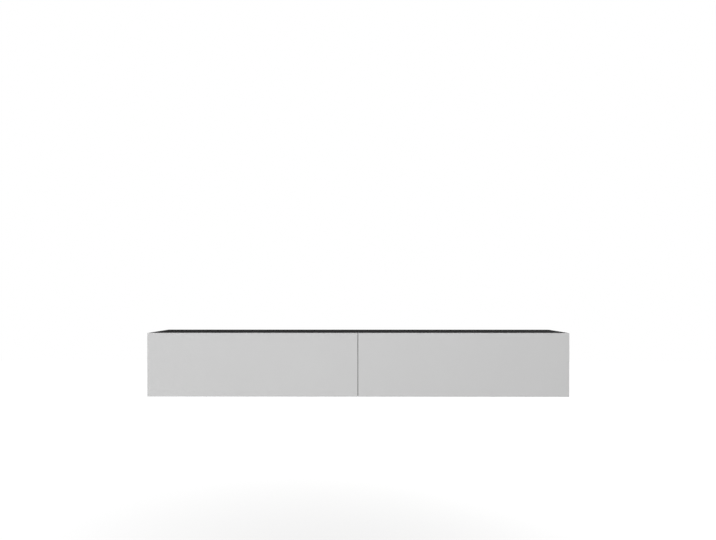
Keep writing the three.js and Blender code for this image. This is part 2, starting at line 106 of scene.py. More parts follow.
# %% [markdown]
# ## Camera
#
# A lens could be guessed and the camera moved by eye. Here the place was worked out from the
# corners of the fronts and of the top, because a long, low object shows the smallest mistake in
# height. The camera stands level, a little above the top, and its picture plane is shifted up,
# as a view camera's is, so the upright edges stay upright.

# %% Set up the camera
IMAGE_WIDTH = 716
FOCAL_PIXELS = 662.1
HORIZON_BELOW_MIDDLE = 29.04  # in pixels
SENSOR_MM = 36
CAMERA_SPOT = (20.8 * MM, -3486.1 * MM, 225.0 * MM)
CAMERA_TURN = math.radians(0.371)
QUARTER_TURN = math.radians(90)

camera_data = bpy.data.cameras.new("camera")
camera_data.sensor_width = SENSOR_MM
camera_data.lens = FOCAL_PIXELS / IMAGE_WIDTH * SENSOR_MM
camera_data.shift_y = HORIZON_BELOW_MIDDLE / IMAGE_WIDTH
camera = bpy.data.objects.new("camera", camera_data)
camera.location = CAMERA_SPOT
camera.rotation_euler = (QUARTER_TURN, 0, CAMERA_TURN)
bpy.context.scene.collection.objects.link(camera)
bpy.context.scene.camera = camera
bpy.context.scene.view_settings.view_transform = "Standard"
print("lens in mm:", round(camera_data.lens, 2))

# %% [markdown]
# ## Colours
#
# Paint charts and screens give colours as sRGB hex values, and Blender's nodes expect linear
# ones. The conversion could be typed out at every colour, but one function keeps the hex value
# readable where it is used.


# %% Turn hex colours to linear ones
def linear(hex_colour):
    """Turns "#rrggbb" into the linear red, green, blue and alpha that nodes expect."""
    channels = [int(hex_colour[i : i + 2], 16) / 255 for i in (1, 3, 5)]
    return [c / 12.92 if c <= 0.04045 else ((c + 0.055) / 1.055) ** 2.4 for c in channels] + [1]


print("black melamine, linear:", [round(c, 3) for c in linear("#1f1f1f")])

# %% [markdown]
# ## Nodes
#
# A material is a small graph. One function adds a single node with its settings and links, so
# each material below reads as a short list of what feeds what. Every material starts from a
# Principled shader and from Object coordinates, which stay put on a piece when it moves.
#
# Most sockets are picked by their names. The Mix node has sockets of the same name for numbers,
# for vectors and for colours, so they are picked by their place in its list, and the ones that
# are used below get names here. Math and shader nodes just count their sockets from 0.


# %% Define the helpers for materials
MIX_FACTOR = 0
NUMBER_A, NUMBER_B, MIXED_NUMBER = 2, 3, 0
COLOUR_A, COLOUR_B, MIXED_COLOUR = 6, 7, 2


def add_node(tree, kind, settings=None, links=None):
    """Adds a node. Settings are its properties or its sockets' values; links feed sockets."""
    node = tree.nodes.new(kind)
    for name, value in (settings or {}).items():
        if isinstance(name, str) and hasattr(node, name):
            setattr(node, name, value)
        else:
            node.inputs[name].default_value = value
    for name, source in (links or {}).items():
        tree.links.new(source, node.inputs[name])
    return node


def start_material(name, settings):
    """Makes a material with a Principled shader, and Object coordinates to draw patterns on."""
    material = bpy.data.materials.new(name)
    material.use_nodes = True
    tree = material.node_tree
    tree.nodes.clear()
    shader = add_node(tree, "ShaderNodeBsdfPrincipled", settings)
    add_node(tree, "ShaderNodeOutputMaterial", links={"Surface": shader.outputs["BSDF"]})
    place = add_node(tree, "ShaderNodeTexCoord").outputs["Object"]
    return material, tree, shader, place


def per_metre(size_mm):
    """The scale that makes one cell of a pattern as large as the size given in mm."""
    return 1000 / size_mm


print("a pattern of 2 mm has the scale", per_metre(2))

# %% [markdown]
# ## Satin lacquer on fibreboard
#
# The fronts are medium-density fibreboard, sprayed with a light grey lacquer on every side.
# A spray gun leaves a very fine orange peel, about 1.5 mm from hill to hill, and the satin
# sheen drifts a little over a hand's breadth. A plain grey would give the same picture from
# far away, but would look like paper at an angle, so the peel goes into the bump and the drift
# into the roughness.

# %% Mix the grey of the lacquer
lacquer, tree, shader, place = start_material(
    "satin_lacquered_fibreboard", {"Specular IOR Level": 0.25}
)
clouds = add_node(
    tree, "ShaderNodeTexNoise", {"Scale": per_metre(350), "Detail": 3}, {"Vector": place}
)
grey = add_node(
    tree,
    "ShaderNodeMix",
    {"data_type": "RGBA", COLOUR_A: linear("#cbcbcb"), COLOUR_B: linear("#cfcfcf")},
    {MIX_FACTOR: clouds.outputs["Fac"]},
)
tree.links.new(grey.outputs[MIXED_COLOUR], shader.inputs["Base Color"])
print("made", lacquer.name)

# %% Give the lacquer its sheen and its orange peel
drift = add_node(
    tree, "ShaderNodeTexNoise", {"Scale": per_metre(90), "Detail": 4}, {"Vector": place}
)
sheen = add_node(
    tree, "ShaderNodeMapRange", {"To Min": 0.48, "To Max": 0.58}, {"Value": drift.outputs["Fac"]}
)
tree.links.new(sheen.outputs["Result"], shader.inputs["Roughness"])
peel = add_node(
    tree, "ShaderNodeTexNoise", {"Scale": per_metre(1.5), "Detail": 2}, {"Vector": place}
)
peel_bump = add_node(
    tree,
    "ShaderNodeBump",
    {"Strength": 0.25, "Distance": 0.02 * MM},
    {"Height": peel.outputs["Fac"]},
)
tree.links.new(peel_bump.outputs["Normal"], shader.inputs["Normal"])
print("nodes in the lacquer:", len(tree.nodes))

# %% [markdown]
# ## Black melamine board
#
# The carcass is chipboard faced with black melamine paper. The pressing plate leaves a fine
# pearl in it, which breaks up reflections, so the board stays dark even where it is seen almost
# edge on. That is why it is rough and has hardly any specular level. The front edges carry a
# strip of ABS, 2 mm thick, which is smoother and has no pearl, with a fine joint line behind it.
# The rear edges stay against the wall and have no strip: there the chips show.
# More pieces could carry those edges, but the place of a point is enough to tell one from the
# other, and the boards stay one piece each. The colour is built up in three steps: the paper,
# the edging over it, and the chips of the raw edge over both.

# %% Colour the melamine paper
melamine, tree, shader, place = start_material(
    "melamine_faced_chipboard_black", {"Specular IOR Level": 0.02}
)
split = add_node(tree, "ShaderNodeSeparateXYZ", links={"Vector": place})
shade = add_node(
    tree, "ShaderNodeTexNoise", {"Scale": per_metre(160), "Detail": 3}, {"Vector": place}
)
black = add_node(
    tree,
    "ShaderNodeMix",
    {"data_type": "RGBA", COLOUR_A: linear("#1f1f1f"), COLOUR_B: linear("#252525")},
    {MIX_FACTOR: shade.outputs["Fac"]},
)
print("made", melamine.name)

# %% Lay the ABS edging over the front edges
EDGING_REAR = -327 * MM  # the front edges are at -329
JOINT_LINE = 0.15 * MM
edging = add_node(
    tree, "ShaderNodeMath", {"operation": "LESS_THAN", 1: EDGING_REAR}, {0: split.outputs["Y"]}
)
joint = add_node(
    tree,
    "ShaderNodeMath",
    {"operation": "COMPARE", 1: EDGING_REAR, 2: JOINT_LINE},
    {0: split.outputs["Y"]},
)
edged = add_node(
    tree,
    "ShaderNodeMix",
    {"data_type": "RGBA", COLOUR_B: linear("#2e2e2f")},
    {MIX_FACTOR: edging.outputs[0], COLOUR_A: black.outputs[MIXED_COLOUR]},
)
jointed = add_node(
    tree,
    "ShaderNodeMix",
    {"data_type": "RGBA", COLOUR_B: linear("#121212")},
    {MIX_FACTOR: joint.outputs[0], COLOUR_A: edged.outputs[MIXED_COLOUR]},
)
print("edging ends in mm:", round(EDGING_REAR / MM))

# %% Show the chips on the raw rear edges
RAW_EDGE = -0.2 * MM  # the boards end at the wall, at 0
chips = add_node(
    tree, "ShaderNodeTexVoronoi", {"Scale": per_metre(3.5), "Randomness": 1}, {"Vector": place}
)
chip_colour = add_node(tree, "ShaderNodeValToRGB", links={"Fac": chips.outputs["Color"]})
chip_colour.color_ramp.elements[0].color = linear("#7d5f3f")
chip_colour.color_ramp.elements[1].color = linear("#c9a878")
raw_edge = add_node(
    tree, "ShaderNodeMath", {"operation": "GREATER_THAN", 1: RAW_EDGE}, {0: split.outputs["Y"]}
)
board_colour = add_node(
    tree,
    "ShaderNodeMix",
    {"data_type": "RGBA"},
    {
        MIX_FACTOR: raw_edge.outputs[0],
        COLOUR_A: jointed.outputs[MIXED_COLOUR],
        COLOUR_B: chip_colour.outputs["Color"],
    },
)
tree.links.new(board_colour.outputs[MIXED_COLOUR], shader.inputs["Base Color"])
print("chips per metre:", round(per_metre(3.5)))

# %% Give the board its pearl and its sheen
pearl = add_node(
    tree, "ShaderNodeTexNoise", {"Scale": per_metre(0.9), "Detail": 3}, {"Vector": place}
)
calm_pearl = add_node(
    tree,
    "ShaderNodeMix",
    {"data_type": "FLOAT", NUMBER_B: 0.5},
    {MIX_FACTOR: edging.outputs[0], NUMBER_A: pearl.outputs["Fac"]},
)
board_height = add_node(
    tree,
    "ShaderNodeMix",
    {"data_type": "FLOAT"},
    {
        MIX_FACTOR: raw_edge.outputs[0],
        NUMBER_A: calm_pearl.outputs[MIXED_NUMBER],
        NUMBER_B: chips.outputs["Distance"],
    },
)
board_bump = add_node(
    tree,
    "ShaderNodeBump",
    {"Strength": 0.5, "Distance": 0.06 * MM},
    {"Height": board_height.outputs[MIXED_NUMBER]},
)
tree.links.new(board_bump.outputs["Normal"], shader.inputs["Normal"])
board_sheen = add_node(
    tree, "ShaderNodeMapRange", {"To Min": 0.86, "To Max": 0.6}, {"Value": edging.outputs[0]}
)
tree.links.new(board_sheen.outputs["Result"], shader.inputs["Roughness"])
print("nodes in the melamine:", len(tree.nodes))

# %% [markdown]
# ## Hardboard backs
#
# The backs are 3 mm hardboard. The face towards the compartment is lacquered black, and the
# face towards the wall stays raw: brown, smooth and full of short fibres. As on the boards, the
# place of a point tells which face it is on, so one material serves both.

# %% Make the hardboard
RAW_FACE = -20.2 * MM  # the backs end at -20
hardboard, tree, shader, place = start_material(
    "hardboard_lacquered_one_side", {"Roughness": 0.75, "Specular IOR Level": 0.1}
)
fibres = add_node(
    tree,
    "ShaderNodeTexNoise",
    {"Scale": per_metre(2.5), "Detail": 6, "Roughness": 0.7, "Distortion": 0.8},
    {"Vector": place},
)
brown = add_node(
    tree,
    "ShaderNodeMix",
    {"data_type": "RGBA", COLOUR_A: linear("#5a4029"), COLOUR_B: linear("#8a6742")},
    {MIX_FACTOR: fibres.outputs["Fac"]},
)
split = add_node(tree, "ShaderNodeSeparateXYZ", links={"Vector": place})
rear_face = add_node(
    tree, "ShaderNodeMath", {"operation": "GREATER_THAN", 1: RAW_FACE}, {0: split.outputs["Y"]}
)
back_colour = add_node(
    tree,
    "ShaderNodeMix",
    {"data_type": "RGBA", COLOUR_A: linear("#303030")},
    {MIX_FACTOR: rear_face.outputs[0], COLOUR_B: brown.outputs[MIXED_COLOUR]},
)
tree.links.new(back_colour.outputs[MIXED_COLOUR], shader.inputs["Base Color"])
fibre_bump = add_node(
    tree,
    "ShaderNodeBump",
    {"Strength": 0.35, "Distance": 0.05 * MM},
    {"Height": fibres.outputs["Fac"]},
)
tree.links.new(fibre_bump.outputs["Normal"], shader.inputs["Normal"])
print("made", hardboard.name)

# %% [markdown]
# ## Metals
#
# Hinges and stays are pressed steel with a bright nickel coat: fairly sharp reflections, broken
# by the tumbling that took off their burrs. The rail and the hangers are zinc plated, which is
# greyer and duller, and clouded where the bath ran off. The cams are die cast, duller still.
# All are the same graph with other values, so a table holds what differs. They keep the default
# index of refraction, because a metal's colour comes from its base colour.

# %% Make the plated and cast metals
METAL_LOOKS = {
    # the name: lighter colour, darker colour, smoothest, roughest, cloud size, scratch size
    "nickel_plated_pressed_steel": ("#dad7d1", "#c6c2bb", 0.34, 0.48, 14, 0.6),
    "zinc_plated_steel": ("#b7bbbe", "#9a9fa4", 0.36, 0.55, 22, 0.9),
    "bright_zinc_screw_steel": ("#c4c6c8", "#a8abae", 0.28, 0.42, 4, 0.4),
    "die_cast_zinc": ("#a6a8aa", "#8e9194", 0.42, 0.6, 3, 0.5),
}


def make_metal(name, light, dark, smooth, rough, cloud, scratch):
    """Makes a metal, clouded in colour and sheen, with a fine tumbled surface."""
    material, tree, shader, place = start_material(name, {"Metallic": 1})
    clouds = add_node(
        tree, "ShaderNodeTexNoise", {"Scale": per_metre(cloud), "Detail": 4}, {"Vector": place}
    )
    plate = add_node(
        tree,
        "ShaderNodeMix",
        {"data_type": "RGBA", COLOUR_A: linear(dark), COLOUR_B: linear(light)},
        {MIX_FACTOR: clouds.outputs["Fac"]},
    )
    tree.links.new(plate.outputs[MIXED_COLOUR], shader.inputs["Base Color"])
    dulling = add_node(
        tree,
        "ShaderNodeMapRange",
        {"To Min": smooth, "To Max": rough},
        {"Value": clouds.outputs["Fac"]},
    )
    tree.links.new(dulling.outputs["Result"], shader.inputs["Roughness"])
    tumbling = add_node(
        tree, "ShaderNodeTexNoise", {"Scale": per_metre(scratch), "Detail": 3}, {"Vector": place}
    )
    tumbled = add_node(
        tree,
        "ShaderNodeBump",
        {"Strength": 0.2, "Distance": 0.02 * MM},
        {"Height": tumbling.outputs["Fac"]},
    )
    tree.links.new(tumbled.outputs["Normal"], shader.inputs["Normal"])
    return material


metals = {name: make_metal(name, *look) for name, look in METAL_LOOKS.items()}
print("made", sorted(metals))

# %% [markdown]
# ## Plastics
#
# The brakes, the latch bodies and the liners are moulded in nylon with glass fibre. Their moulds
# are spark eroded, so the surface has an even, matt grain of about 0.4 mm. The plungers are
# acetal, smoother and paler, because they have to slide. Both flow into the mould unevenly,
# which shifts their tone and their sheen together, so one noise drives the two, and a finer one
# gives the grain.

# %% Make the moulded plastics
PLASTIC_LOOKS = {
    # the name: colour, roughness, grain size, grain depth
    "glass_filled_nylon_moulded": ("#606265", 0.55, 0.4, 0.05),
    "acetal_moulded": ("#a3a5a6", 0.38, 1.2, 0.01),
}
SHEEN_SPREAD = 0.05


def make_plastic(name, colour, rough, grain_size, grain_depth):
    """Makes a moulded plastic, with flow clouds in tone and sheen and a grain in its bump."""
    material, tree, shader, place = start_material(name, {"IOR": 1.5})
    flow = add_node(
        tree, "ShaderNodeTexNoise", {"Scale": per_metre(12), "Detail": 2}, {"Vector": place}
    )
    spread = add_node(
        tree, "ShaderNodeMapRange", {"To Min": 0.93, "To Max": 1.07}, {"Value": flow.outputs["Fac"]}
    )
    tone = add_node(
        tree,
        "ShaderNodeHueSaturation",
        {"Color": linear(colour)},
        {"Value": spread.outputs["Result"]},
    )
    tree.links.new(tone.outputs["Color"], shader.inputs["Base Color"])
    polish = add_node(
        tree,
        "ShaderNodeMapRange",
        {"To Min": rough - SHEEN_SPREAD, "To Max": rough + SHEEN_SPREAD},
        {"Value": flow.outputs["Fac"]},
    )
    tree.links.new(polish.outputs["Result"], shader.inputs["Roughness"])
    grain = add_node(
        tree, "ShaderNodeTexNoise", {"Scale": per_metre(grain_size), "Detail": 2}, {"Vector": place}
    )
    grained = add_node(
        tree,
        "ShaderNodeBump",
        {"Strength": 0.4, "Distance": grain_depth * MM},
        {"Height": grain.outputs["Fac"]},
    )
    tree.links.new(grained.outputs["Normal"], shader.inputs["Normal"])
    return material


plastics = {name: make_plastic(name, *look) for name, look in PLASTIC_LOOKS.items()}
print("made", sorted(plastics))

# %% [markdown]
# ## Finishes on the CAD solids
#
# The record names a material slot for every solid. Each slot gets one of the materials above,
# so a solid that is added later is dressed by the same rule.

# %% Dress the CAD solids
SLOT_MATERIALS = {
    "carcass_board": melamine,
    "back_board": hardboard,
    "front_board": lacquer,
    "nickel_steel": metals["nickel_plated_pressed_steel"],
    "zinc_steel": metals["zinc_plated_steel"],
    "dark_plastic": plastics["glass_filled_nylon_moulded"],
    "grey_plastic": plastics["acetal_moulded"],
}
for subpart in frame["record"]["subparts"]:
    mesh = frame["nodes"][subpart["node"]].data
    mesh.materials.clear()
    mesh.materials.append(SLOT_MATERIALS[subpart["material_slot"]])

# %% [markdown]
# ## From shapes to pieces
#
# Everything that is added below becomes a piece in the same way: its mesh gets a material, its
# object stays at the origin, so the patterns of the materials stay put when a flap turns, and it
# rides on the body that carries it. Faces are smooth, and edges sharper than 35 degrees stay
# crisp.


# %% Define how a piece is finished
CRISP_ANGLE = math.radians(35)


def finish_piece(name, bm, material, body):
    """Turns a bmesh into a piece with a material, and lets it ride on a body."""
    mesh = bpy.data.meshes.new(name)
    bm.to_mesh(mesh)
    bm.free()
    mesh.materials.append(material)
    mesh.shade_smooth()
    mesh.set_sharp_from_angle(angle=CRISP_ANGLE)
    piece = bpy.data.objects.new(name, mesh)
    bpy.context.scene.collection.objects.link(piece)
    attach(piece, body)
    return piece


print("edges stay crisp from", round(math.degrees(CRISP_ANGLE)), "degrees")

# %% [markdown]
# ## Fittings with broken edges
#
# Pressed and moulded fittings have no razor edges: the press rolls the edge of the sheet over,
# and a mould has small radii. That thin rounding is what flashes when a fitting catches the
# light. The CAD solids have sharp edges and flat facets, so each fitting gets a copy that stands
# for it. The copy is merged, its coplanar triangles are joined, and a Bevel modifier with
# hardened normals rounds the edges while the flat faces stay flat. The modifier could clamp its
# width wherever two edges come close, but one such place would then keep a whole fitting sharp,
# so the widths are chosen small enough to do without. The boards are cut square, and the flaps
# already have their rounding of 1 mm, so both keep their own solids.

# %% Break the edges of the fittings
BROKEN_EDGES = {
    # the slot: radius of the edges in mm
    "nickel_steel": 0.22,
    "zinc_steel": 0.3,
    "dark_plastic": 0.3,
    "grey_plastic": 0.35,
}
ROD_EDGES = 0.07  # the narrow steps between a rod and its flat end take no more
SAME_POINT = 0.005 * MM
FLAT_ANGLE = math.radians(1)


def with_broken_edges(subpart):
    """Stands a copy with rounded edges in the place of a fitting's CAD solid."""
    node, slot = subpart["node"], subpart["material_slot"]
    solid = frame["nodes"][node]
    bm = bmesh.new()
    bm.from_mesh(solid.data)
    bmesh.ops.remove_doubles(bm, verts=bm.verts, dist=SAME_POINT)
    bmesh.ops.dissolve_limit(bm, angle_limit=FLAT_ANGLE, verts=bm.verts, edges=bm.edges)
    piece = finish_piece(f"{node}_formed", bm, SLOT_MATERIALS[slot], body_of(solid)[0])
    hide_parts(node)
    edges = piece.modifiers.new("broken_edges", "BEVEL")
    radius = ROD_EDGES if node.endswith("stay_rod") else BROKEN_EDGES[slot]
    edges.width = radius * MM
    edges.segments = 2
    edges.limit_method = "ANGLE"
    edges.angle_limit = CRISP_ANGLE
    edges.loop_slide = False
    edges.use_clamp_overlap = False
    edges.harden_normals = True


fittings = [s for s in frame["record"]["subparts"] if s["material_slot"] in BROKEN_EDGES]
for subpart in fittings:
    with_broken_edges(subpart)
print("fittings with broken edges:", len(fittings))

# %% [markdown]
# ## Screw heads
#
# Every fitting is held by small cross-recess screws, and the board joints are drawn together by
# round cam housings with a cross slot, so one shape serves them all at several sizes. A head
# could be lathed and its cross cut out with a boolean. Here the cross comes first, as the five
# middle squares of a grid, and is bridged out to a round rim. That needs no cutting and leaves
# clean faces. The rim is then drawn down in rings, and the cross is pushed in.

# %% Start a head with its cross
HEAD_SIDES = 24
GRID_SHARE = 0.42  # half the grid, as a share of the head's radius
CORNER_SHARE = 0.2  # a square whose middle is further out than this both ways is a corner
END_SHARE = 0.3  # vertices further out than this are the ends of the cross
LONGER_ENDS = 1.45
RIM_SHARE = 0.8  # the flat top, before the head rounds over


def head_top(bm, radius):
    """Makes a head's flat top on z = 0, and returns the faces of its cross."""
    bmesh.ops.create_grid(bm, x_segments=3, y_segments=3, size=GRID_SHARE * radius)
    corner = CORNER_SHARE * radius
    corners = [f for f in bm.faces if min(map(abs, f.calc_center_median()[:2])) > corner]
    bmesh.ops.delete(bm, geom=corners, context="FACES")
    for axis in (0, 1):
        ends = [v for v in bm.verts if abs(v.co[axis]) > END_SHARE * radius]
        longer = Vector((1, 1, 1))
        longer[axis] = LONGER_ENDS
        bmesh.ops.scale(bm, verts=ends, vec=longer)
    sides = [e for e in bm.edges if e.is_boundary]
    bmesh.ops.subdivide_edges(bm, edges=sides, cuts=1)
    cross = list(bm.faces)
    inner = [e for e in bm.edges if e.is_boundary]
    ring = bmesh.ops.create_circle(
        bm, cap_ends=False, radius=RIM_SHARE * radius, segments=HEAD_SIDES
    )
    outer = list({e for v in ring["verts"] for e in v.link_edges})
    bmesh.ops.bridge_loops(bm, edges=inner + outer)
    return cross


trial = bmesh.new()
print("faces of a cross:", len(head_top(trial, 3.5 * MM)), "of", len(trial.faces))
trial.free()

# %% Draw the rim down and push the cross in
ROUNDING_SHARES = ((1.16, 0.15), (1.08, 0.25), (1, 0.6))  # wider by, and down by this much
RECESS_TAPER = 0.8


def screw_head(radius, height, recess):
    """A closed head with a cross recess, standing on z = 0."""
    bm = bmesh.new()
    cross = head_top(bm, radius)
    bmesh.ops.translate(bm, verts=bm.verts, vec=(0, 0, height))
    rim = [e for e in bm.edges if e.is_boundary]
    for widen, drop in ROUNDING_SHARES:
        grown = bmesh.ops.extrude_edge_only(bm, edges=rim)["geom"]
        verts = [g for g in grown if isinstance(g, bmesh.types.BMVert)]
        rim = [g for g in grown if isinstance(g, bmesh.types.BMEdge) and g.is_boundary]
        bmesh.ops.scale(bm, verts=verts, vec=(widen, widen, 1))
        bmesh.ops.translate(bm, verts=verts, vec=(0, 0, -drop * height))
    bmesh.ops.contextual_create(bm, geom=rim)
    sunk = bmesh.ops.extrude_face_region(bm, geom=cross)["geom"]
    verts = [g for g in sunk if isinstance(g, bmesh.types.BMVert)]
    bmesh.ops.delete(bm, geom=cross, context="FACES")
    bmesh.ops.translate(bm, verts=verts, vec=(0, 0, -recess))
    bmesh.ops.scale(bm, verts=verts, vec=(RECESS_TAPER, RECESS_TAPER, 1))
    return as_shape("screw_head_shape", bm)


def as_shape(name, bm):
    """Turns a bmesh into a mesh with its faces outwards, to be copied into pieces."""
    bmesh.ops.recalc_face_normals(bm, faces=bm.faces)
    shape = bpy.data.meshes.new(name)
    bm.to_mesh(shape)
    bm.free()
    return shape


small_head = screw_head(radius=3.4 * MM, height=0.9 * MM, recess=0.6 * MM)
print("faces in a screw head:", len(small_head.polygons))

# %% [markdown]
# ## Many screws, one piece
#
# Screws of one kind on one body are one piece, made of copies of one small shape. The copies
# could be objects that share a mesh, but as one mesh they are one thing to name, to dress and to
# move.


# %% Define how a shape is scattered
UP, DOWN = Vector((0, 0, 1)), Vector((0, 0, -1))
TO_WALL, TO_ROOM = Vector((0, 1, 0)), Vector((0, -1, 0))
TO_RIGHT, TO_LEFT = Vector((1, 0, 0)), Vector((-1, 0, 0))
SCREW = metals["bright_zinc_screw_steel"]


def place_at(spot, normal):
    """The matrix that moves a shape made on the ground to a spot, its top along the normal."""
    turn = UP.rotation_difference(normal)
    return Matrix.Translation(spot) @ turn.to_matrix().to_4x4()


def scatter(name, shape, places, material, body):
    """Makes one piece of copies of a shape, each at a spot and facing along a normal."""
    bm = bmesh.new()
    for spot, normal in places:
        start = len(bm.verts)
        bm.from_mesh(shape)
        bm.verts.ensure_lookup_table()
        bmesh.ops.transform(bm, matrix=place_at(spot, normal), verts=bm.verts[start:])
    finish_piece(name, bm, material, body)
    print(name, "x", len(places))


# %% [markdown]
# ## Screws of the hinges
#
# A hinge cup is held by a screw in each wing, a hinge plate by one in each arm of its cross.
# The arm itself carries two: the front one sets it sideways and the rear one in depth. All
# places are read from the CAD solids, so they follow the fittings.

# %% Screw down the hinges
WING_SCREW_INSET = 5.5 * MM
ARM_SCREWS_FROM_END = (7 * MM, 24 * MM)
arm_head = screw_head(radius=2.9 * MM, height=1.3 * MM, recess=0.9 * MM)
hinge_count = sum(name.startswith("left_hinge_cup") for name in frame["nodes"])
for hand in ("left", "right"):
    cup_places, fixed_places, arm_places = [], [], []
    for i in range(1, hinge_count + 1):
        low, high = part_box(f"{hand}_hinge_cup_{i}")
        middle = (low + high) / 2
        for x in (low.x + WING_SCREW_INSET, high.x - WING_SCREW_INSET):
            cup_places.append((Vector((x, high.y, middle.z)), TO_WALL))
        low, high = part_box(f"{hand}_hinge_plate_{i}")
        middle = (low + high) / 2
        for x in (low.x + WING_SCREW_INSET, high.x - WING_SCREW_INSET):
            fixed_places.append((Vector((x, middle.y, high.z)), UP))
        low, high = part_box(f"{hand}_hinge_arm_{i}")
        for inset in ARM_SCREWS_FROM_END:
            arm_places.append((Vector(((low.x + high.x) / 2, high.y - inset, high.z)), UP))
    scatter(f"{hand}_cup_screws", small_head, cup_places, SCREW, f"{hand}_flap")
    scatter(f"{hand}_plate_screws", small_head, fixed_places, SCREW, "carcass")
    scatter(f"{hand}_arm_screws", arm_head, arm_places, SCREW, "carcass")

# %% [markdown]
# ## Screws of the stays
#
# The stays' plates are screwed to the upright boards, and their brackets to the flap. A stay's
# plate faces the compartment, so its screws point right on one board and left on the other. A
# table could hold each direction, but it follows from which board the stay is on.

# %% Screw on the stays
STAY_PLATE = 2.5 * MM
STAY_SCREW_INSET = 6 * MM
stay_head = screw_head(radius=3.3 * MM, height=1 * MM, recess=0.7 * MM)
for hand in ("left", "right"):
    base_places, bracket_places = [], []
    for end in ("outer", "inner"):
        into = TO_RIGHT if (hand == "left") == (end == "outer") else TO_LEFT
        low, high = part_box(f"{hand}_{end}_stay_base")
        face_x = low.x + STAY_PLATE if into == TO_RIGHT else high.x - STAY_PLATE
        for y in (low.y + STAY_SCREW_INSET, high.y - STAY_SCREW_INSET):
            base_places.append((Vector((face_x, y, (low.z + high.z) / 2)), into))
        low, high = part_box(f"{hand}_{end}_stay_bracket")
        for z in (low.z + STAY_SCREW_INSET, high.z - STAY_SCREW_INSET):
            spot = Vector(((low.x + high.x) / 2, low.y + STAY_PLATE, z))
            bracket_places.append((spot, TO_WALL))
    scatter(f"{hand}_base_screws", stay_head, base_places, SCREW, "carcass")
    scatter(
        f"{hand}_bracket_screws", stay_head, bracket_places, SCREW, f"{hand}_flap"
    )

# %% [markdown]
# ## Screws of the hangers
#
# The two screws in a hanger's nose are not fixings: they move the hook, and set the console
# level once it hangs. A long screwdriver reaches them from the front, so their heads are high
# and their crosses deep. The same function makes them, with other sizes.

# %% Add the setting screws of the hangers
NOSE_FACE = 3 * MM
SETTING_SCREW_DROPS = (7.5 * MM, 22.5 * MM)
hanger_head = screw_head(radius=3.1 * MM, height=1.6 * MM, recess=1.2 * MM)
for hand in ("left", "right"):
    hanger_places = []
    for end in ("outer", "inner"):
        low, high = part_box(f"{hand}_{end}_hanger_body")
        for drop in SETTING_SCREW_DROPS:
            spot = Vector(((low.x + high.x) / 2, low.y + NOSE_FACE, high.z - drop))
            hanger_places.append((spot, TO_ROOM))
    scatter(f"{hand}_hanger_screws", hanger_head, hanger_places, SCREW, "carcass")

# %% [markdown]
# ## Screws of the latches
#
# The latch hangs from four screws under the top panel. Its strike plate is held by one sunk
# screw, so that nothing keeps the plunger off it. The plate's hole already widens towards its
# face, so it is enough to set the head deeper.

# %% Screw on the latches and their strike plates
LATCH_PLATE = 2.5 * MM
LATCH_SCREWS_ACROSS, LATCH_SCREWS_ALONG = 11 * MM, 22 * MM
STRIKE_SUNK = 1.2 * MM
strike_head = screw_head(radius=3.4 * MM, height=1.1 * MM, recess=0.8 * MM)
for hand in ("left", "right"):
    low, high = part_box(f"{hand}_latch_body")
    middle = (low + high) / 2
    latch_places = [
        (Vector((middle.x + across, middle.y + along, high.z - LATCH_PLATE)), DOWN)
        for across in (-LATCH_SCREWS_ACROSS, LATCH_SCREWS_ACROSS)
        for along in (-LATCH_SCREWS_ALONG, LATCH_SCREWS_ALONG)
    ]
    scatter(f"{hand}_latch_screws", stay_head, latch_places, SCREW, "carcass")
    low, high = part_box(f"{hand}_latch_strike")
    middle = (low + high) / 2
    sunk = [(Vector((middle.x, high.y - STRIKE_SUNK, middle.z)), TO_WALL)]
    scatter(f"{hand}_strike_screw", strike_head, sunk, SCREW, f"{hand}_flap")

# %% [markdown]
# ## Liners of the cable cut-outs
#
# Each back has a cut-out for cables, and a moulded liner is snapped into it, so that no plug
# scrapes on the raw edge of the hardboard. Its section is a short sleeve with a flat flange
# towards the room. A curve with a bevel object could carry that section round, but its corners
# would pinch. Here the section is spun round each corner and drawn out along each side, until it
# meets its own start.

# %% Make the liner
CUT_OUT_WIDTH, CUT_OUT_HEIGHT, CUT_OUT_RADIUS = 120 * MM, 50 * MM, 12 * MM
CORNER_STEPS = 6
MERGE_GAP = 0.001 * MM
LINER_SECTION = (
    # how far outside the cut-out's edge, and how far in front of the back panel, in mm
    (-2.2, -3.0),
    (-2.2, 1.2),
    (-1.4, 1.9),
    (3.2, 1.9),
    (4.0, 1.2),
    (4.0, 0.05),
    (-0.3, 0.05),
    (-0.3, -3.0),
)


